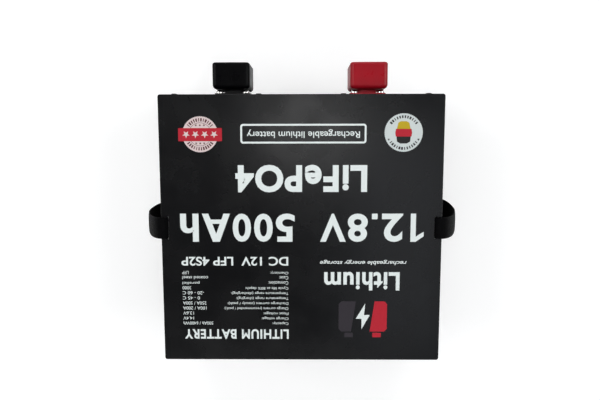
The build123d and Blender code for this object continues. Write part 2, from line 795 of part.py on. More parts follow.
lead_z = cell_bottom - lead_radius - lead_drop
lead_y = board_back + lead_gap
with BuildPart() as heater_leads:
    for side in (-1, 1):
        with BuildLine() as lead_path:
            FilletPolyline(
                (side * lead_x, stack_front - lead_start_gap, lead_z),
                (side * lead_x, lead_y, lead_z),
                (side * lead_x, lead_y, lead_top),
                radius=lead_bend,
            )
        with BuildSketch(Plane(lead_path.line @ 0, z_dir=lead_path.line % 0)):
            Circle(lead_radius)
        sweep(path=lead_path.line)
keep(heater_leads, "heater_leads")

strip_bottom = cell_top + strip_lift
strip_front = plate_front - band_thickness - strip_lift - strip_thickness
strip_plug_z = strip_plug_share * board_height
tab_reach = outer_post_x - bar_width / 2 + strip_tab_overlap
with BuildPart() as sense_strips:
    for side in (-1, 1):
        with BuildSketch(Plane.YZ.offset(side * strip_x)):
            with Locations((strip_front, strip_bottom)):
                Rectangle(row_y[-1] + strip_tail - strip_front, strip_thickness,
                          align=(Align.MIN, Align.MIN))
            with Locations((strip_front, strip_plug_z)):
                Rectangle(strip_thickness, strip_bottom - strip_plug_z + strip_thickness,
                          align=(Align.MIN, Align.MIN))
        extrude(amount=strip_width / 2, both=True)
        for y in row_y:
            with BuildSketch(Plane.XZ.offset(-y)):
                with Locations((side * (strip_x + tab_reach) / 2, strip_bottom + strip_thickness / 2)):
                    Rectangle(tab_reach - strip_x, strip_thickness)
                with Locations((side * (tab_reach - strip_thickness / 2), (strip_bottom + post_top) / 2)):
                    Rectangle(strip_thickness, post_top - strip_bottom)
            extrude(amount=strip_tab_width / 2, both=True)
keep(sense_strips, "sense_strips")

with BuildPart() as temperature_sensors:
    with BuildSketch(Plane.XY.offset(cell_top + vent_height)):
        with Locations(*[(side * column_x, row_y[1]) for side in (-1, 1)]):
            RectangleRounded(sensor_length, sensor_width, sensor_round)
    extrude(amount=sensor_height)
keep(temperature_sensors, "temperature_sensors")
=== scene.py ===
"""Looks of the under-seat lithium battery pack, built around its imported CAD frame.

Lengths are in millimetres until MM turns them into metres. Print runs along +X and reads with +Y up.
"""
import json
import math
import random

import bmesh
import bpy
from mathutils import Matrix, Vector


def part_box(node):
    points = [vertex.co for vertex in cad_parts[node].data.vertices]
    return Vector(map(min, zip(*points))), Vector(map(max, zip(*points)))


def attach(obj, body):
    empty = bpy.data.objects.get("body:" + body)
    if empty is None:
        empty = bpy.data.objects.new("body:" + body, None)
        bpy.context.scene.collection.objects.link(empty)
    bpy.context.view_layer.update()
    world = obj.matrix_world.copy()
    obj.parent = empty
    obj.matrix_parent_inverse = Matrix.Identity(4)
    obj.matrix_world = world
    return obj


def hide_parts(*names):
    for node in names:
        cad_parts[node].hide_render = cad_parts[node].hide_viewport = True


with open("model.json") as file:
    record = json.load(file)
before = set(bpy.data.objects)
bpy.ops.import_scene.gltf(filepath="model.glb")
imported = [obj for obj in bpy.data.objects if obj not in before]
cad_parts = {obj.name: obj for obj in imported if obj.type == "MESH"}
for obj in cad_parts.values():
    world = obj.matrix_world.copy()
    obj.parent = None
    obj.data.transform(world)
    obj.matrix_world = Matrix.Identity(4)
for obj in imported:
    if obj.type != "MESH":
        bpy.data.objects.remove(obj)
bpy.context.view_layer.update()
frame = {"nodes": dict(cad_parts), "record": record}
nodes = frame["nodes"]
MM = 0.001
random.seed(12)


def box_mm(node):
    """Lowest and highest corners of a CAD node at rest, in mm."""
    return [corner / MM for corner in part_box(node)]


lid_high = box_mm("lid")[1]
case_half_width = lid_high.x
case_top = lid_high.z


# ---------------------------------------------------------------- shader helpers
class Shader:
    """A node material with short calls for the textures that every finish here needs."""

    def __init__(self, name, color, roughness, metallic=0.0):
        self.material = bpy.data.materials.new(name)
        self.material.use_nodes = True
        self.tree = self.material.node_tree
        self.bsdf = self.tree.nodes["Principled BSDF"]
        self.bsdf.inputs["Base Color"].default_value = (*color, 1)
        self.bsdf.inputs["Roughness"].default_value = roughness
        self.bsdf.inputs["Metallic"].default_value = metallic
        self.place = self.tree.nodes.new("ShaderNodeTexCoord").outputs["Object"]
        self.color = color

    def node(self, kind, **settings):
        made = self.tree.nodes.new(kind)
        for key, value in settings.items():
            setattr(made, key, value)
        return made

    def link(self, out, into):
        self.tree.links.new(out, into)

    def set(self, socket, value):
        self.bsdf.inputs[socket].default_value = value

    def noise(self, scale, detail=3.0, stretch=(1, 1, 1)):
        mapping = self.node("ShaderNodeMapping")
        mapping.inputs["Scale"].default_value = stretch
        self.link(self.place, mapping.inputs["Vector"])
        made = self.node("ShaderNodeTexNoise")
        made.inputs["Scale"].default_value = scale
        made.inputs["Detail"].default_value = detail
        self.link(mapping.outputs["Vector"], made.inputs["Vector"])
        return made.outputs["Fac"]

    def cells(self, scale):
        made = self.node("ShaderNodeTexVoronoi")
        made.inputs["Scale"].default_value = scale
        self.link(self.place, made.inputs["Vector"])
        return made.outputs["Distance"]

    def spread(self, source, low, high, from_low=0.3, from_high=0.7):
        """Map a value from one range to another."""
        made = self.node("ShaderNodeMapRange")
        made.inputs["From Min"].default_value = from_low
        made.inputs["From Max"].default_value = from_high
        made.inputs["To Min"].default_value = low
        made.inputs["To Max"].default_value = high
        self.link(source, made.inputs["Value"])
        return made.outputs["Result"]

    def tint(self, source, dark, light, low=0.3, high=0.7):
        """Map a value to a colour between dark and light."""
        ramp = self.node("ShaderNodeValToRGB")
        ramp.color_ramp.elements[0].position = low
        ramp.color_ramp.elements[0].color = (*dark, 1)
        ramp.color_ramp.elements[1].position = high
        ramp.color_ramp.elements[1].color = (*light, 1)
        self.link(source, ramp.inputs["Fac"])
        return ramp.outputs["Color"]

    def mix_over(self, factor, under, over):
        """Lay a plain colour over the base colour where factor is high."""
        mix = self.node("ShaderNodeMix", data_type="RGBA")
        mix.inputs["B"].default_value = (*over, 1)
        self.link(factor, mix.inputs["Factor"])
        self.link(under, mix.inputs["A"])
        self.link(mix.outputs["Result"], self.bsdf.inputs["Base Color"])

    def vary_color(self, scale, amount, detail=3.0, stretch=(1, 1, 1)):
        dark = [c * (1 - amount) for c in self.color]
        light = [min(1, c * (1 + amount)) for c in self.color]
        out = self.tint(self.noise(scale, detail, stretch), dark, light)
        self.link(out, self.bsdf.inputs["Base Color"])
        return out

    def vary_roughness(self, scale, low, high, stretch=(1, 1, 1)):
        self.link(self.spread(self.noise(scale, 4.0, stretch), low, high), self.bsdf.inputs["Roughness"])

    def bump(self, *layers, normal=None):
        """Stack bump layers, each (height output, distance in mm, strength), on an optional normal."""
        for height, distance, strength in layers:
            made = self.node("ShaderNodeBump")
            made.inputs["Distance"].default_value = distance * MM
            made.inputs["Strength"].default_value = strength
            self.link(height, made.inputs["Height"])
            if normal is not None:
                self.link(normal, made.inputs["Normal"])
            normal = made.outputs["Normal"]
        self.link(normal, self.bsdf.inputs["Normal"])


# ---------------------------------------------------------------- finishes
def powder_coat():
    """Fine black powder coat: orange-peel skin, faint mottling, and edges lightened in the base colour as a
    painted highlight.
    """
    edge_radius = 0.7 * MM
    painted_edge_highlight = (0.028, 0.029, 0.031)
    coat = Shader("powder_coat", (0.0031, 0.0032, 0.0038), roughness=0.32)
    base = coat.vary_color(7.0, 0.10, detail=2.0)
    bevel = coat.node("ShaderNodeBevel", samples=4)
    bevel.inputs["Radius"].default_value = edge_radius
    geometry = coat.node("ShaderNodeNewGeometry")
    facing = coat.node("ShaderNodeVectorMath", operation="DOT_PRODUCT")
    coat.link(bevel.outputs["Normal"], facing.inputs[0])
    coat.link(geometry.outputs["Normal"], facing.inputs[1])
    # Painted highlight: where the bevel normal turns away from the face normal, the base colour is lightened
    # to stand in for light caught by the rounded edges.
    edge_highlight_mask = coat.spread(facing.outputs["Value"], 0.28, 0.0, from_low=0.80, from_high=0.985)
    coat.mix_over(edge_highlight_mask, base, painted_edge_highlight)
    coat.vary_roughness(24.0, 0.23, 0.31)
    orange_peel = (coat.noise(520.0, 2.0), 0.06, 0.35)
    powder_grain = (coat.noise(2100.0, 1.0), 0.03, 0.25)
    coat.bump(orange_peel, powder_grain, normal=bevel.outputs["Normal"])
    coat.set("Specular IOR Level", 0.34)
    return coat.material


def webbing_fibre():
    """Black polypropylene yarn: fine twisted fibres along the strap and a soft sheen."""
    yarn = Shader("webbing_fibre", (0.0016, 0.0016, 0.0020), roughness=0.62)
    yarn.place = yarn.tree.nodes["Texture Coordinate"].outputs["UV"]
    yarn.vary_color(900.0, 0.45, detail=2.0, stretch=(1, 0.25, 1))
    twist = yarn.node("ShaderNodeTexWave", bands_direction="DIAGONAL")
    twist.inputs["Scale"].default_value = 1400.0
    twist.inputs["Distortion"].default_value = 1.5
    yarn.link(yarn.place, twist.inputs["Vector"])
    fuzz = yarn.noise(2600.0, 2.0)
    yarn.bump((twist.outputs["Fac"], 0.08, 0.5), (fuzz, 0.05, 0.4))
    yarn.set("Specular IOR Level", 0.035)
    yarn.set("Sheen Weight", 0.05)
    yarn.set("Sheen Roughness", 0.25)
    return yarn.material


def moulded(name, color, roughness, grain=0.25):
    """Moulded plastic: faint flow marks in the colour and a fine spark-eroded grain."""
    skin = Shader(name, color, roughness)
    skin.vary_color(60.0, 0.08, detail=4.0)
    skin.vary_roughness(90.0, roughness - 0.06, roughness + 0.07)
    skin.bump((skin.noise(380.0), 0.05, grain), (skin.cells(1800.0), 0.03, grain))
    skin.set("Specular IOR Level", 0.28)
    return skin.material


def soft_vinyl(name, color, roughness, specular):
    """Dip-moulded soft PVC: slight waviness, a waxy sheen and a little light carried under the skin."""
    skin = Shader(name, color, roughness)
    skin.vary_color(45.0, 0.10)
    skin.vary_roughness(70.0, roughness - 0.07, roughness + 0.08)
    skin.bump((skin.noise(55.0, 2.0), 0.25, 0.18), (skin.noise(900.0, 2.0), 0.04, 0.25))
    skin.set("Subsurface Weight", 0.08)
    skin.set("Subsurface Radius", (1.2 * MM, 0.4 * MM, 0.3 * MM))
    skin.set("Specular IOR Level", specular)
    return skin.material


def metal(name, color, roughness, scratch=(1, 1, 40), wear=0.10):
    """Bare or plated metal: directional micro-scratches and uneven polish."""
    bare = Shader(name, color, roughness, metallic=1.0)
    bare.vary_color(120.0, wear)
    bare.vary_roughness(300.0, max(0.05, roughness - 0.08), roughness + 0.10, scratch)
    bare.bump((bare.noise(600.0, 2.0, scratch), 0.02, 0.25))
    return bare.material


def speckled(name, color, roughness, scale, variation, grain):
    """Foam, fibre sheet and rubber: an open speckle in both colour and height."""
    skin = Shader(name, color, roughness)
    skin.vary_color(scale, variation, detail=5.0)
    skin.bump((skin.cells(scale * 2.5), 0.3, grain), (skin.noise(scale * 4), 0.1, grain))
    return skin.material


def circuit_board_skin():
    """Green solder mask over a faint grid of copper tracks."""
    board = Shader("circuit_board", (0.006, 0.09, 0.035), roughness=0.28)
    tracks = board.node("ShaderNodeTexBrick")
    tracks.inputs["Scale"].default_value = 90.0
    tracks.inputs["Color1"].default_value = (0.005, 0.085, 0.032, 1)
    tracks.inputs["Color2"].default_value = (0.010, 0.12, 0.045, 1)
    tracks.inputs["Mortar"].default_value = (0.03, 0.19, 0.07, 1)
    tracks.inputs["Mortar Size"].default_value = 0.03
    upright = board.node("ShaderNodeMapping")
    upright.inputs["Rotation"].default_value = (math.pi / 2, 0, 0)
    board.link(board.place, upright.inputs["Vector"])
    board.link(upright.outputs["Vector"], tracks.inputs["Vector"])
    board.link(tracks.outputs["Color"], board.bsdf.inputs["Base Color"])
    board.bump((tracks.outputs["Fac"], 0.05, 0.4))
    return board.material


def cell_film():
    """Blue heat-shrink film on the can, bare aluminium on the posts above its top."""
    post_height = 11.8
    bare_aluminium = (0.75, 0.75, 0.76)
    film = Shader("cell_film", (0.02, 0.10, 0.36), roughness=0.25)
    blue = film.vary_color(35.0, 0.12)
    split = film.node("ShaderNodeSeparateXYZ")
    film.link(film.place, split.inputs["Vector"])
    can_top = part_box("cell_1")[1].z - post_height * MM
    post = film.spread(split.outputs["Z"], 0.0, 1.0, from_low=can_top, from_high=can_top + 0.1 * MM)
    film.link(post, film.bsdf.inputs["Metallic"])
    film.mix_over(post, blue, bare_aluminium)
    film.bump((film.noise(40.0), 0.3, 0.15))
    return film.material


def ink(name, color):
    """Screen-printed ink: slightly uneven density with a fine stipple in its gloss."""
    print_ink = Shader(name, color, roughness=0.5)
    print_ink.vary_color(700.0, 0.025, detail=4.0)
    print_ink.vary_roughness(400.0, 0.42, 0.6)
    print_ink.bump((print_ink.noise(1500.0, 2.0), 0.02, 0.3))
    print_ink.set("Specular IOR Level", 0.3)
    return print_ink.material


white_ink = ink("white_ink", (0.70, 0.755, 0.745))
silver_ink = ink("silver_ink", (0.55, 0.60, 0.595))
pink_ink = ink("pink_ink", (0.64, 0.53, 0.525))
maroon_ink = ink("maroon_ink", (0.085, 0.018, 0.022))
red_ink = ink("red_ink", (0.42, 0.008, 0.022))
yellow_ink = ink("yellow_ink", (0.46, 0.33, 0.006))
grey_ink = ink("grey_ink", (0.021, 0.017, 0.023))
black_ink = ink("black_ink", (0.008, 0.008, 0.008))

finishes = {
    "case_coat": powder_coat(),
    "black_zinc": moulded("black_zinc", (0.006, 0.006, 0.0065), 0.34, grain=0.1),
    "zinc_steel": metal("zinc_steel", (0.62, 0.62, 0.60), 0.32),
    "webbing": webbing_fibre(),
    "red_nylon": moulded("red_nylon", (0.46, 0.005, 0.018), 0.38),
    "black_nylon": moulded("black_nylon", (0.0035, 0.0035, 0.0042), 0.42),
    "stainless": metal("stainless", (0.70, 0.69, 0.67), 0.16, scratch=(1, 1, 1), wear=0.05),
    "tinned_brass": metal("tinned_brass", (0.72, 0.68, 0.58), 0.25, scratch=(1, 30, 1)),
    "red_vinyl": soft_vinyl("red_vinyl", (0.295, 0.0024, 0.010), 0.32, specular=0.22),
    "black_vinyl": soft_vinyl("black_vinyl", (0.0011, 0.0011, 0.0015), 0.32, specular=0.07),
    "cell_wrap": cell_film(),
    "insulation_board": speckled("insulation_board", (0.52, 0.50, 0.30), 0.55, 400.0, 0.15, 0.15),
    "plain_aluminium": metal("plain_aluminium", (0.78, 0.78, 0.79), 0.30, scratch=(1, 1, 60)),
    "foam": speckled("foam", (0.03, 0.03, 0.033), 0.9, 500.0, 0.4, 0.7),
    "heater_silicone": speckled("heater_silicone", (0.45, 0.07, 0.02), 0.6, 300.0, 0.12, 0.2),
    "copper": metal("copper", (0.80, 0.40, 0.25), 0.28, scratch=(40, 1, 1)),
    "circuit_board": circuit_board_skin(),
    "chip_black": moulded("chip_black", (0.013, 0.013, 0.014), 0.5, grain=0.4),
    "sense_film": moulded("sense_film", (0.50, 0.22, 0.03), 0.3, grain=0.1),
}
for subpart in frame["record"]["subparts"]:
    cad_mesh = nodes[subpart["node"]].data
    cad_mesh.materials.clear()
    cad_mesh.materials.append(finishes[subpart["material_slot"]])


# ---------------------------------------------------------------- making pieces
def add_piece(name, shape, material, body="pack"):
    """Turn a bmesh in mm into a piece in metres that rides on a body."""
    bmesh.ops.recalc_face_normals(shape, faces=shape.faces)
    bmesh.ops.scale(shape, verts=shape.verts, vec=(MM, MM, MM))
    mesh = bpy.data.meshes.new(name)
    shape.to_mesh(mesh)
    shape.free()
    mesh.materials.append(material)
    piece = bpy.data.objects.new(name, mesh)
    bpy.context.scene.collection.objects.link(piece)
    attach(piece, body)
    return piece


ink_depth = 0.05
weld_distance = 0.001
ink_layers = [case_top + layer * ink_depth for layer in range(4)]


def outline_mesh(loops, bottom=case_top, depth=ink_depth):
    """A flat filled shape from closed outlines in mm. An outline inside another is a hole."""
    curve = bpy.data.curves.new("outline", "CURVE")
    curve.dimensions = "2D"
    curve.fill_mode = "BOTH"
    curve.extrude = depth / 2
    for loop in loops:
        spline = curve.splines.new("POLY")
        spline.points.add(len(loop) - 1)
        for point, (x, y) in zip(spline.points, loop):
            point.co = (x, y, 0, 1)
        spline.use_cyclic_u = True
    holder = bpy.data.objects.new("outline", curve)
    shape = bmesh.new()
    shape.from_mesh(holder.to_mesh())
    bpy.data.objects.remove(holder)
    bmesh.ops.translate(shape, verts=shape.verts, vec=(0, 0, bottom + depth / 2))
    return shape


def text_mesh(words, left, low, width, height, weight=0.0, slant=0.0, spacing=1.0):
    """Lettering filled to a box in mm, made heavier by weight, as a share of the letter size."""
    curve = bpy.data.curves.new("words", "FONT")
    curve.body = words
    curve.size = 1.0
    curve.offset = weight
    curve.extrude = 0.01
    curve.shear = slant
    curve.space_character = spacing
    curve.resolution_u = 5
    holder = bpy.data.objects.new("words", curve)
    bpy.context.scene.collection.objects.link(holder)
    bpy.context.view_layer.update()
    evaluated = holder.evaluated_get(bpy.context.evaluated_depsgraph_get())
    shape = bmesh.new()
    shape.from_mesh(evaluated.to_mesh())
    bpy.data.objects.remove(holder)
    xs = [v.co.x for v in shape.verts]
    ys = [v.co.y for v in shape.verts]
    x_scale = width / (max(xs) - min(xs))
    y_scale = height / (max(ys) - min(ys))
    for v in shape.verts:
        x = left + (v.co.x - min(xs)) * x_scale
        y = low + (v.co.y - min(ys)) * y_scale
        v.co = (x, y, case_top + (ink_depth if v.co.z > 0 else 0.0))
    return shape


def printed(name, shapes, material):
    """Join flat shapes into one print piece on the lid."""
    whole = bmesh.new()
    for shape in shapes:
        part = bpy.data.meshes.new("part")
        shape.to_mesh(part)
        whole.from_mesh(part)
        shape.free()
        bpy.data.meshes.remove(part)
    bmesh.ops.remove_doubles(whole, verts=whole.verts, dist=weld_distance)
    bmesh.ops.dissolve_degenerate(whole, edges=whole.edges, dist=weld_distance)
    add_piece(name, whole, material)


# ---------------------------------------------------------------- outlines
def moved(loop, x, y):
    """The outline shifted by x and y."""
    return [(px + x, py + y) for px, py in loop]


def rounded_box(left, low, width, height, radius, steps=6):
    """Outline of a rectangle with rounded corners."""
    corners = (
        (left + width - radius, low + height - radius, 0),
        (left + radius, low + height - radius, 90),
        (left + radius, low + radius, 180),
        (left + width - radius, low + radius, 270),
    )
    points = []
    for x, y, start in corners:
        for step in range(steps + 1):
            angle = math.radians(start + 90 * step / steps)
            points.append((x + radius * math.cos(angle), y + radius * math.sin(angle)))
    return points


def circle(x, y, radius, steps=64):
    """Outline of a circle."""
    turns = [math.tau * step / steps for step in range(steps)]
    return [(x + radius * math.cos(a), y + radius * math.sin(a)) for a in turns]


def star(x, y, radius, points=5, waist=0.42):
    """Outline of a pointed star."""
    outline = []
    for step in range(2 * points):
        reach = radius if step % 2 == 0 else waist * radius
        angle = math.pi / 2 + math.pi * step / points
        outline.append((x + reach * math.cos(angle), y + reach * math.sin(angle)))
    return outline


def milled_disc(x, y, radius, teeth=64, depth=0.5):
    """Outline of a disc with a finely notched edge."""
    outline = []
    for step in range(2 * teeth):
        reach = radius - depth * (step % 2)
        angle = math.pi * step / teeth
        outline.append((x + reach * math.cos(angle), y + reach * math.sin(angle)))
    return outline


def ring_marks(x, y, inner, outer, angles):
    """Short radial bars of uneven width round a seal, in place of lettering."""
    narrowest, widest = 3.2, 7.0
    marks = []
    for angle in angles:
        half = math.radians(random.uniform(narrowest, widest) / 2)
        mid = math.radians(angle)
        corners = ((inner, mid - half), (outer, mid - half), (outer, mid + half), (inner, mid + half))
        marks.append([(x + r * math.cos(a), y + r * math.sin(a)) for r, a in corners])
    return marks


# ---------------------------------------------------------------- rating line
rating_low = -21.5
rating_height = 36.0
rating_weight = 0.026
rating_point = 7.2


def flagged_one(left, width, stem):
    """Outline of a one with a slanting flag."""
    stem_left, right = left + width - stem, left + width
    top = rating_low + rating_height
    return [(stem_left, rating_low), (right, rating_low), (right, top), (stem_left, top),
            (left, top - 0.20 * rating_height), (left, top - 0.36 * rating_height),
            (stem_left, top - 0.18 * rating_height)]


def open_a(left, width, leg, apex):
    """Outlines of a capital A and of its counter, with legs of even width."""
    lean = (width - apex) / 2 / rating_height
    bar_low, bar_high = 0.21 * rating_height, 0.36 * rating_height
    peak = (width / 2 - leg) / lean
    half = [(0, 0), (leg, 0), (leg + lean * bar_low, bar_low)]
    top = [((width + apex) / 2, rating_height), ((width - apex) / 2, rating_height)]
    outline = half + [(width - x, y) for x, y in reversed(half)] + top
    counter = [(leg + lean * bar_high, bar_high), (width - leg - lean * bar_high, bar_high),
               (width / 2, peak)]
    return [moved(outline, left, rating_low), moved(counter, left, rating_low)]


def print_rating():
    """Voltage and capacity, each character filled to its own left edge and width."""
    shapes = [
        outline_mesh([flagged_one(left=-154.6, width=16.6, stem=6.6)]),
        outline_mesh([rounded_box(-96.2, rating_low, rating_point, rating_point, radius=0.8)]),
        outline_mesh(open_a(left=90.0, width=35.6, leg=8.2, apex=8.8)),
    ]
    for character, left, width in (
            ("2", -128.3, 26.5), ("8", -84.0, 25.3), ("V", -56.4, 32.6),
            ("5", 8.3, 23.9), ("0", 36.0, 23.6), ("0", 63.6, 23.2), ("h", 129.9, 23.4)):
        shapes.append(text_mesh(character, left, rating_low, width, rating_height, rating_weight))
    printed("print_rating", shapes, white_ink)


print_rating()


# ---------------------------------------------------------------- chemistry word and framed line
def print_chemistry():
    """The chemistry name in heavy lettering."""
    word = text_mesh("LiFePO4", left=-82.5, low=-83.0, width=165.0, height=34.5, weight=0.036, spacing=1.1)
    printed("print_chemistry", [word], white_ink)


def print_frame():
    """A line of text in a rounded frame."""
    left, low, width, height, radius = -81.0, -133.6, 156.5, 24.2, 3.4
    line, inner_radius = 2.3, 1.6
    outer = rounded_box(left, low, width, height, radius)
    inner = rounded_box(left + line, low + line, width - 2 * line, height - 2 * line, inner_radius)
    words = text_mesh("Rechargeable lithium battery", left=-73.0, low=-126.8, width=140.5, height=10.6,
                      weight=0.009)
    printed("print_frame", [outline_mesh([outer, inner]), words], white_ink)


print_chemistry()
print_frame()


# ---------------------------------------------------------------- round seals
left_seal = (125.6, -120.9)
right_seal = (-126.9, -122.6)
mark_pitch = 9.6
mark_angles = [start + mark_pitch * step for start in (37, 217) for step in range(12)]


def print_left_seal():
    """A pale milled disc with a red ribbon and a row of stars across it."""
    x, y = left_seal
    ribbon_half, ribbon_height, ribbon_rise = 27.2, 16.2, 0.4
    star_pitch = 11.6
    printed("seal_left_disc", [outline_mesh([milled_disc(x, y, 22.4)])], pink_ink)
    marks = ring_marks(x, y, 15.8, 20.0, mark_angles)
    small_stars = [star(x + dx, y + dy, 1.7) for dx in (-5, 0, 5) for dy in (-11.2, 11.2)]
    thin_ring = [circle(x, y, 14.5), circle(x, y, 14.0)]
    printed("seal_left_marks", [outline_mesh(marks + small_stars, ink_layers[1]),
                                outline_mesh(thin_ring, ink_layers[1])], maroon_ink)
    ribbon = rounded_box(x - ribbon_half, y - ribbon_height / 2 + ribbon_rise, 2 * ribbon_half,
                         ribbon_height, radius=0.8)
    printed("seal_left_ribbon", [outline_mesh([ribbon], ink_layers[2])], red_ink)
    printed("seal_left_stars", [
        outline_mesh([star(x + step * star_pitch, y, 4.8)], ink_layers[3])
        for step in (-1.5, -0.5, 0.5, 1.5)
    ], pink_ink)


def crest_band(name, right_half, material):
    """One coloured band of the crest, from the right half of its outline, mirrored."""
    whole = right_half + [(-x, y) for x, y in reversed(right_half)]
    printed(name, [outline_mesh([moved(whole, *right_seal)], ink_layers[1])], material)


def print_right_seal():
    """A silver milled disc with a banded crest in its middle."""
    x, y = right_seal
    red_low, red_high = -4.6, 4.8
    printed("seal_right_disc", [outline_mesh([milled_disc(x, y, 23.8)])], silver_ink)
    marks = ring_marks(x, y, 17.8, 21.2, mark_angles)
    side_stars = [star(x + dx, y + 8.5, 1.8) for dx in (-18.4, 18.4)]
    printed("seal_right_marks", [outline_mesh(marks + side_stars, ink_layers[1])], black_ink)
    crest_band("seal_right_yellow", [(3.5, -14.0), (6.8, -12.2), (8.4, red_low)], yellow_ink)
    crest_band("seal_right_red", [(9.6, red_low), (10.4, 0.0), (9.8, red_high)], red_ink)
    crest_band("seal_right_black", [(8.8, red_high), (8.2, 11.0), (4.0, 13.4)], black_ink)


print_left_seal()
print_right_seal()


# ---------------------------------------------------------------- battery symbol over a plain word
symbol_x, symbol_low = -79.0, 92.0
symbol_width, symbol_height = 62.0, 40.0


def half_body(side):
    """Half of the battery symbol's body, cut back at its middle for the bolt."""
    edge = symbol_x + side * symbol_width / 2
    low_middle, high_middle = symbol_x + side * 12 - 3, symbol_x + side * 12 + 3
    top = symbol_low + symbol_height
    cut = 3.5
    return [(low_middle, symbol_low), (edge - side * cut, symbol_low), (edge, symbol_low + cut),
            (edge, top - cut), (edge - side * cut, top), (high_middle, top)]


def post(side):
    """One of the two posts on top of the battery symbol."""
    width, height, gap, offset = 11, 6, 1.6, 18
    left = symbol_x + side * offset - width / 2
    return rounded_box(left, symbol_low + symbol_height + gap, width, height, radius=1)


def print_symbol():
    """A battery in two halves with a bolt between them, and the word and line below."""
    bolt = [(1.5, 17), (-9, -2), (-1.5, -2), (-3, -17), (9, 3), (1.5, 3)]
    printed("print_word", [
        text_mesh("Lithium", left=-125.4, low=53.4, width=96.2, height=24.2, weight=0.03, spacing=1.08),
        text_mesh("rechargeable energy storage", left=-133.8, low=37.8, width=110.0, height=6.6,
                  weight=0.014, slant=0.2),
    ], white_ink)
    printed("symbol_red", [outline_mesh([half_body(-1)]), outline_mesh([post(-1)])], red_ink)
    printed("symbol_grey", [outline_mesh([half_body(1)]), outline_mesh([post(1)])], grey_ink)
    printed("symbol_bolt", [outline_mesh([moved(bolt, symbol_x, symbol_low + symbol_height / 2)])], white_ink)


print_symbol()


# ---------------------------------------------------------------- specification table
table_left, table_right = 16.6, 152.4
table_top = 119.1
table_pitch = 6.67
table_weight = 0.004
label_height, value_height = 4.4, 4.2
label_letter, value_letter = 2.30, 2.75
table_lines = (
    ("Capacity:", "500Ah / 6400Wh"),
    ("Charge voltage:", "14.4V"),
    ("Float voltage:", "13.6V"),
    ("Charge current (recommended / peak):", "100A / 200A"),
    ("Discharge current (steady / peak):", "250A / 500A"),
    ("Temperature range (charging):", "0 - 45 C"),
    ("Temperature range (discharging):", "-20 - 60 C"),
    ("Cycle life at 80% depth:", "3000"),
    ("Connection:", "parallel"),
    ("Case:", "coated steel"),
    ("Chemistry:", "LFP"),
)


def print_table():
    """Plain specification lines, labels to the left and values against the right edge."""
    shapes = []
    for row, (label, value) in enumerate(table_lines):
        low = table_top - row * table_pitch
        label_width, value_width = label_letter * len(label), value_letter * len(value)
        shapes.append(text_mesh(label, table_left, low, label_width, label_height, table_weight))
        shapes.append(text_mesh(value, table_right - value_width, low, value_width, value_height,
                                table_weight))
    printed("print_table", shapes, white_ink)


def print_heading():
    """The heading over the table and the system line under it."""
    printed("print_heading", [
        text_mesh("LITHIUM BATTERY", left=16.4, low=129.2, width=134.6, height=12.9, weight=0.03,
                  spacing=1.12),
        text_mesh("DC 12V  LFP 4S2P", left=16.6, low=33.9, width=136.4, height=11.6, weight=0.02),
    ], white_ink)


print_table()
print_heading()


# ---------------------------------------------------------------- strap handles
strap_width = 27.0
strap_thickness = 1.6
strap_y = -3.5
slot_x = case_half_width - 8.0
exit_height = 35.0
edge_thickness = 0.45
bulge = 34.0
lean = {-1: -11.0, 1: -6.0}
crown = 0.5
weave_pitch = 1.5
weave_run = 2.4
weave_height = 0.2
weave_middle = 0.7
along_step = 0.5
across_count = 72


def handle_points(side):
    """Centre line of a hanging handle, from inside the lid slot to inside the wall slot."""
    sag = lean[side]
    return [Vector(p) for p in (
        (side * slot_x, strap_y, case_top - 2.5),
        (side * slot_x, strap_y, case_top),
        (side * (case_half_width - 4), strap_y, case_top + 4.2),
        (side * (case_half_width + 0.12 * bulge), strap_y, case_top + 1.5),
        (side * (case_half_width + 0.6 * bulge), strap_y, case_top - 24),
        (side * (case_half_width + bulge), strap_y + 0.35 * sag, 0.62 * case_top),
        (side * (case_half_width + 0.82 * bulge), strap_y + sag, 0.38 * case_top),
        (side * (case_half_width + 0.25 * bulge), strap_y + 0.4 * sag, exit_height + 5),
        (side * case_half_width, strap_y, exit_height),
        (side * (case_half_width - 3.5), strap_y, exit_height),
    )]


def smooth_path(points, step, samples=40):
    """Evenly spaced points on a centripetal Catmull-Rom curve through the given points."""
    padded = [2 * points[0] - points[1]] + points + [2 * points[-1] - points[-2]]
    dense = []
    for p0, p1, p2, p3 in zip(padded, padded[1:], padded[2:], padded[3:]):
        t1 = (p1 - p0).length ** 0.5
        t2 = t1 + (p2 - p1).length ** 0.5
        t3 = t2 + (p3 - p2).length ** 0.5
        for k in range(samples):
            t = t1 + (t2 - t1) * k / samples
            a1 = (t1 - t) / t1 * p0 + t / t1 * p1
            a2 = (t2 - t) / (t2 - t1) * p1 + (t - t1) / (t2 - t1) * p2
            a3 = (t3 - t) / (t3 - t2) * p2 + (t - t2) / (t3 - t2) * p3
            b1 = (t2 - t) / t2 * a1 + t / t2 * a2
            b2 = (t3 - t) / (t3 - t1) * a2 + (t - t1) / (t3 - t1) * a3
            dense.append((t2 - t) / (t2 - t1) * b1 + (t - t1) / (t2 - t1) * b2)
    dense.append(points[-1])
    spaced = [dense[0]]
    travelled = 0.0
    for a, b in zip(dense, dense[1:]):
        travelled += (b - a).length
        if travelled >= step:
            spaced.append(b)
            travelled = 0.0
    return spaced


def weave_relief(s, w):
    """Height of the herringbone weave at s along and w across the strap, 0 to 1."""
    column = math.floor(w / weave_pitch)
    rib = abs(math.sin(math.pi * w / weave_pitch)) ** 0.6
    slope = 0.35 * (w / weave_pitch - column) * (1 if column % 2 else -1)
    return rib * (0.5 + 0.5 * math.cos(math.tau * (s / weave_run + slope + 0.5 * (column % 2))))


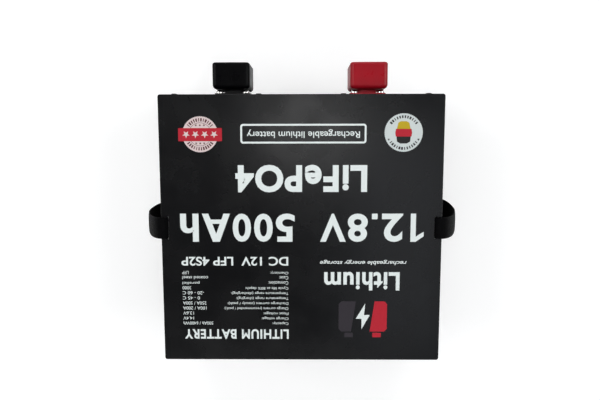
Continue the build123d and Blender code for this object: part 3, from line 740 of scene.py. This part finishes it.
def strap_section(s, cup):
    """Offsets (across, outward) round the strap's section at s along it, outer face first."""
    outer = range(across_count + 1)
    section = []
    for face, order in ((1, outer), (-1, reversed(outer))):
        for j in order:
            w = (j / across_count - 0.5) * strap_width
            edge = 1 - abs(2 * j / across_count - 1) ** 14
            half = strap_thickness / 2 * (edge_thickness + (1 - edge_thickness) * edge)
            half += weave_height * (weave_relief(s, w + strap_width) - weave_middle) * edge
            bow = cup * (1 - (2 * w / strap_width) ** 2)
            section.append((w, face * half + bow))
    return section


def webbing_strap(side, name, node):
    """A closed woven band along the handle's path, with relief on both faces and soft edges."""
    path = smooth_path(handle_points(side), along_step)
    band = bmesh.new()
    uv = band.loops.layers.uv.new("UVMap")
    rings = []
    for i, centre in enumerate(path):
        ahead = (path[min(i + 1, len(path) - 1)] - path[max(i - 1, 0)]).normalized()
        across = Vector((0, 1, 0))
        across = (across - across.dot(ahead) * ahead).normalized()
        out = ahead.cross(across) * side
        cup = crown * math.sin(math.pi * i / len(path)) ** 2
        section = strap_section(i * along_step, cup)
        rings.append([band.verts.new(centre + across * w + out * rise) for w, rise in section])
    around = len(rings[0])
    for i, (near, far) in enumerate(zip(rings, rings[1:])):
        for k in range(around):
            following = (k + 1) % around
            patch = band.faces.new((near[k], near[following], far[following], far[k]))
            patch.smooth = True
            corner_uv = ((k, i), (k + 1, i), (k + 1, i + 1), (k, i + 1))
            for loop, (u, v) in zip(patch.loops, corner_uv):
                loop[uv].uv = (u * strap_width / across_count * MM, v * along_step * MM)
    band.faces.new(rings[0])
    band.faces.new(reversed(rings[-1]))
    strap = add_piece(name, band, finishes["webbing"])
    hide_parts(node)


webbing_strap(-1, "webbing_left", "strap_left")
webbing_strap(1, "webbing_right", "strap_right")


# ---------------------------------------------------------------- threaded studs
thread_pitch = 1.25
thread_depth = 0.62
steps_per_turn = 8
points_round = 40
end_length = 1.0
end_narrowing = 0.18
relief_radius = 3.5
relief_width = 1.2
nut_face = box_mm("terminal_nuts")[0].y


def thread_radius(y, turn, low, high, radius):
    """Radius of the helical thread at y along the stud and turn round it, with narrowed ends."""
    end = min(1.0, min(y - low, high - y) / end_length)
    wave = abs(((y - low) / thread_pitch + turn) % 1.0 * 2 - 1)
    reach = (radius - thread_depth * wave) * (1 - end_narrowing * (1 - end))
    if nut_face - relief_width <= y <= nut_face:
        reach = min(reach, relief_radius)
    return reach


def threaded_stud(node, name):
    """An M8 stud with a true helical thread, in place of the plain CAD cylinder."""
    low, high = box_mm(node)
    centre_x, centre_z = (low.x + high.x) / 2, (low.z + high.z) / 2
    radius = (high.x - low.x) / 2
    length = high.y - low.y
    steps = int(length / thread_pitch * steps_per_turn)
    stud = bmesh.new()
    rings = []
    for i in range(steps + 1):
        y = low.y + length * i / steps
        ring = []
        for k in range(points_round):
            turn = k / points_round
            reach = thread_radius(y, turn, low.y, high.y, radius)
            angle = math.tau * turn
            ring.append(stud.verts.new((centre_x + reach * math.cos(angle), y,
                                        centre_z + reach * math.sin(angle))))
        rings.append(ring)
    for near, far in zip(rings, rings[1:]):
        for k in range(points_round):
            following = (k + 1) % points_round
            stud.faces.new((near[k], near[following], far[following], far[k]))
    stud.faces.new(rings[0])
    stud.faces.new(reversed(rings[-1]))
    piece = add_piece(name, stud, finishes["tinned_brass"])
    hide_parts(node)


threaded_stud("terminal_stud_pos", "threaded_stud_pos")
threaded_stud("terminal_stud_neg", "threaded_stud_neg")


# ---------------------------------------------------------------- moulded polarity marks on the covers
mark_reach = 9.0
mark_bar = 3.2
mark_height = 0.7
mark_round = 0.35
mark_level = 0.45
half_bar = mark_bar / 2
plus_outline = [
    (half_bar, half_bar), (half_bar, mark_reach), (-half_bar, mark_reach), (-half_bar, half_bar),
    (-mark_reach, half_bar), (-mark_reach, -half_bar), (-half_bar, -half_bar), (-half_bar, -mark_reach),
    (half_bar, -mark_reach), (half_bar, -half_bar), (mark_reach, -half_bar), (mark_reach, half_bar),
]
minus_outline = rounded_box(-mark_reach, -half_bar, 2 * mark_reach, mark_bar, radius=1.0)


def polarity_mark(node, body, name, slot, outline):
    """A raised mark on the outer face of a terminal cover, with softened edges."""
    low, high = box_mm(node)
    centre_x = (low.x + high.x) / 2
    centre_z = high.z - mark_level * (high.z - low.z)
    shape = bmesh.new()
    front = [shape.verts.new((centre_x + x, low.y - mark_height, centre_z + y)) for x, y in outline]
    rear = [shape.verts.new((centre_x + x, low.y + mark_height, centre_z + y)) for x, y in outline]
    shape.faces.new(front)
    shape.faces.new(reversed(rear))
    for i, near in enumerate(front):
        shape.faces.new((near, front[i - 1], rear[i - 1], rear[i]))
    piece = add_piece(name, shape, finishes[slot], body)
    soften = piece.modifiers.new("soften", "BEVEL")
    soften.width = mark_round * MM
    soften.segments = 3


polarity_mark("terminal_cover_pos", "cover_pos", "plus_mark", "red_vinyl", plus_outline)
polarity_mark("terminal_cover_neg", "cover_neg", "minus_mark", "black_vinyl", minus_outline)


# ---------------------------------------------------------------- floor (in metres)
floor_size = 14.0
floor_drop = 0.0005
fade_start, fade_end = 0.6, 3.5
near_fill = 0.27


def floor_paint():
    """Plain pale studio floor that fades into the white backdrop away from the object."""
    paint = Shader("floor_paint", (0.86, 0.86, 0.86), roughness=0.7)
    paint.vary_color(3.0, 0.01)
    paint.set("Specular IOR Level", 0.1)
    reach = paint.node("ShaderNodeVectorMath", operation="LENGTH")
    paint.link(paint.place, reach.inputs[0])
    seen = paint.node("ShaderNodeLightPath")
    fill = paint.node("ShaderNodeMath", operation="MULTIPLY")
    paint.link(paint.spread(reach.outputs["Value"], near_fill, 1.0, fade_start, fade_end), fill.inputs[0])
    paint.link(seen.outputs["Is Camera Ray"], fill.inputs[1])
    paint.set("Emission Color", (1, 1, 1, 1))
    paint.link(fill.outputs["Value"], paint.bsdf.inputs["Emission Strength"])
    return paint.material


floor_mesh = bpy.data.meshes.new("floor")
floor_corners = [(x * floor_size, y * floor_size, 0) for x, y in ((-1, -1), (1, -1), (1, 1), (-1, 1))]
floor_mesh.from_pydata(floor_corners, [], [(0, 1, 2, 3)])
floor_mesh.materials.append(floor_paint())
floor = bpy.data.objects.new("floor", floor_mesh)
bpy.context.scene.collection.objects.link(floor)
floor.location.z = -floor_drop


# ---------------------------------------------------------------- lights (in metres)
def softbox(name, place, aim, size, power, color=(1, 1, 1)):
    """A rectangular studio light that faces a point."""
    lamp = bpy.data.lights.new(name, "AREA")
    lamp.color = color
    lamp.shape = "RECTANGLE"
    lamp.size, lamp.size_y = size
    lamp.energy = power
    light = bpy.data.objects.new(name, lamp)
    bpy.context.scene.collection.objects.link(light)
    light.location = place
    light.rotation_euler = (Vector(aim) - Vector(place)).to_track_quat("-Z", "Y").to_euler()


def studio_world(horizon, zenith, backdrop):
    """Soft surroundings, brighter at the horizon than overhead, in front of a flat white backdrop."""
    world = bpy.data.worlds.new("studio")
    bpy.context.scene.world = world
    world.use_nodes = True
    tree = world.node_tree
    background = tree.nodes["Background"]
    background.inputs["Color"].default_value = (0.97, 0.985, 1.0, 1)
    place = tree.nodes.new("ShaderNodeTexCoord")
    split = tree.nodes.new("ShaderNodeSeparateXYZ")
    fade = tree.nodes.new("ShaderNodeMapRange")
    fade.inputs["From Min"].default_value = 0.15
    fade.inputs["From Max"].default_value = 0.85
    fade.inputs["To Min"].default_value = horizon
    fade.inputs["To Max"].default_value = zenith
    seen = tree.nodes.new("ShaderNodeLightPath")
    choose = tree.nodes.new("ShaderNodeMix")
    choose.inputs["B"].default_value = backdrop
    tree.links.new(place.outputs["Generated"], split.inputs["Vector"])
    tree.links.new(split.outputs["Z"], fade.inputs["Value"])
    tree.links.new(seen.outputs["Is Camera Ray"], choose.inputs["Factor"])
    tree.links.new(fade.outputs["Result"], choose.inputs["A"])
    tree.links.new(choose.outputs["Result"], background.inputs["Strength"])


object_centre = (0, 0, 0.12)
softbox("ceiling_panel", (-0.02, -0.2, 2.3), (-0.02, -0.2, 0), size=(0.40, 0.32), power=2.4)
softbox("window_panel", (-0.55, 0.4, 2.3), (-0.55, 0.4, 0), size=(0.5, 1.3), power=2.2,
        color=(0.88, 0.93, 1.0))
softbox("left_side", (2.0, -0.5, 2.2), object_centre, size=(1.3, 1.3), power=27)
softbox("right_side", (-2.0, -0.3, 2.2), object_centre, size=(1.3, 1.3), power=27)
softbox("rear", (0.3, 2.1, 2.2), object_centre, size=(1.6, 1.0), power=20)
softbox("front", (0.0, -2.2, 2.0), object_centre, size=(1.6, 1.0), power=24)
studio_world(horizon=0.55, zenith=0.07, backdrop=1.05)

# ---------------------------------------------------------------- camera, seeing the print upside down
camera_place = Vector((-5.1, -107.3, 828.7)) * MM
camera_aim = Vector((1.5, -38.8, 190.0)) * MM
camera_right = Vector((-1, 0.0015, -0.0102))
camera_data = bpy.data.cameras.new("camera")
camera_data.sensor_width = 36.0
camera_data.lens = 30.66
camera = bpy.data.objects.new("camera", camera_data)
bpy.context.scene.collection.objects.link(camera)
back = (camera_place - camera_aim).normalized()
right = (camera_right - camera_right.dot(back) * back).normalized()
up = back.cross(right)
camera_turn = Matrix((right, up, back)).transposed().to_4x4()
camera.matrix_world = Matrix.Translation(camera_place) @ camera_turn
bpy.context.scene.camera = camera
bpy.context.scene.view_settings.view_transform = "Standard"
